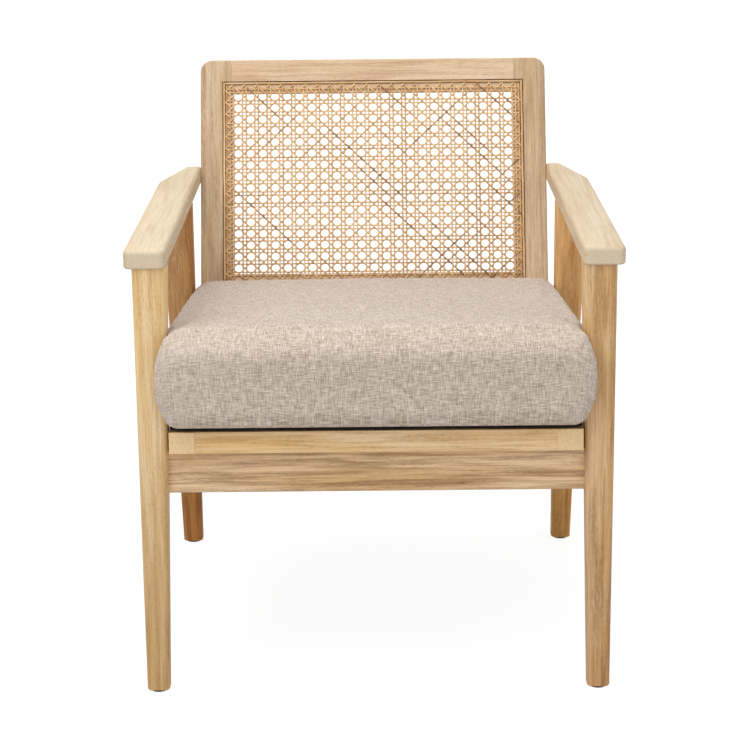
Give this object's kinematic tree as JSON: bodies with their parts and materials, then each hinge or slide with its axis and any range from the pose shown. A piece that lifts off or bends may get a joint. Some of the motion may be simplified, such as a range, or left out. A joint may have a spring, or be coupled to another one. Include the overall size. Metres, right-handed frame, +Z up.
{
  "type": "occasional chair",
  "caption": "Low armchair with a pale wooden frame, level armrests, a raked back with a woven cane panel and a loose linen box cushion on webbing; made to sit on.",
  "frame": {"origin": "on the floor, in the middle of the chair's width and depth", "axes": "+X to the right seen from the front, +Y to the back, +Z up"},
  "size_m": [0.606, 0.7152, 0.7203],
  "materials": {
    "wood": "pale washed hardwood, matt",
    "dowel": "raw beech",
    "cane": "natural cane, satin",
    "reed": "natural reed, satin",
    "webbing": "black elastic webbing",
    "deck_cloth": "black spun cloth",
    "glide": "matt black nylon",
    "steel": "zinc plated",
    "linen": "oatmeal linen weave",
    "foam": "upholstery foam",
    "zip_tape": "woven tape with a nylon coil",
    "zip_metal": "nickel plated"
  },
  "bodies": {
    "frame": {"front_leg_left": "wood", "front_leg_right": "wood", "rear_leg_left": "wood", "rear_leg_right": "wood", "armrest_left": "wood", "armrest_right": "wood", "side_apron_left": "wood", "side_apron_right": "wood", "seat_cleat_left": "wood", "seat_cleat_right": "wood", "seat_side_rail_left": "wood", "seat_side_rail_right": "wood", "back_stile_left": "wood", "back_stile_right": "wood", "front_apron": "wood", "rear_apron": "wood", "seat_front_rail": "wood", "seat_rear_rail": "wood", "seat_corner_blocks": "wood", "back_top_rail": "wood", "back_bottom_rail": "wood", "armrest_dowels": "dowel", "apron_dowels": "dowel", "seat_frame_dowels": "dowel", "back_frame_dowels": "dowel", "back_fixing_dowels": "dowel", "cane_panel": "cane", "cane_spline_left": "reed", "cane_spline_right": "reed", "cane_spline_top": "reed", "cane_spline_bottom": "reed", "cross_straps": "webbing", "long_straps": "webbing", "deck_cloth": "deck_cloth", "front_glide_left": "glide", "front_glide_right": "glide", "rear_glide_left": "glide", "rear_glide_right": "glide", "cleat_screws": "steel", "seat_screws": "steel"},
    "cushion": {"cushion_cover": "linen", "cushion_foam": "foam", "zip_tape": "zip_tape"},
    "zip_slider": {"zip_slider": "zip_metal"},
    "zip_pull": {"zip_pull": "zip_metal"}
  },
  "joints": [
    {"name": "cushion_lift", "type": "slide", "parent": "frame", "child": "cushion", "axis": [0, 0, 1], "range_m": [0, 0.3]},
    {"name": "zip_slide", "type": "slide", "parent": "cushion", "child": "zip_slider", "axis": [1, 0, 0], "range_m": [0, 0.35]},
    {"name": "zip_pull_flip", "type": "hinge", "parent": "zip_slider", "child": "zip_pull", "pos_m": [-0.175, 0.18415, 0.36486], "axis": [0, 0, 1], "range_deg": [0, 180]}
  ]
}
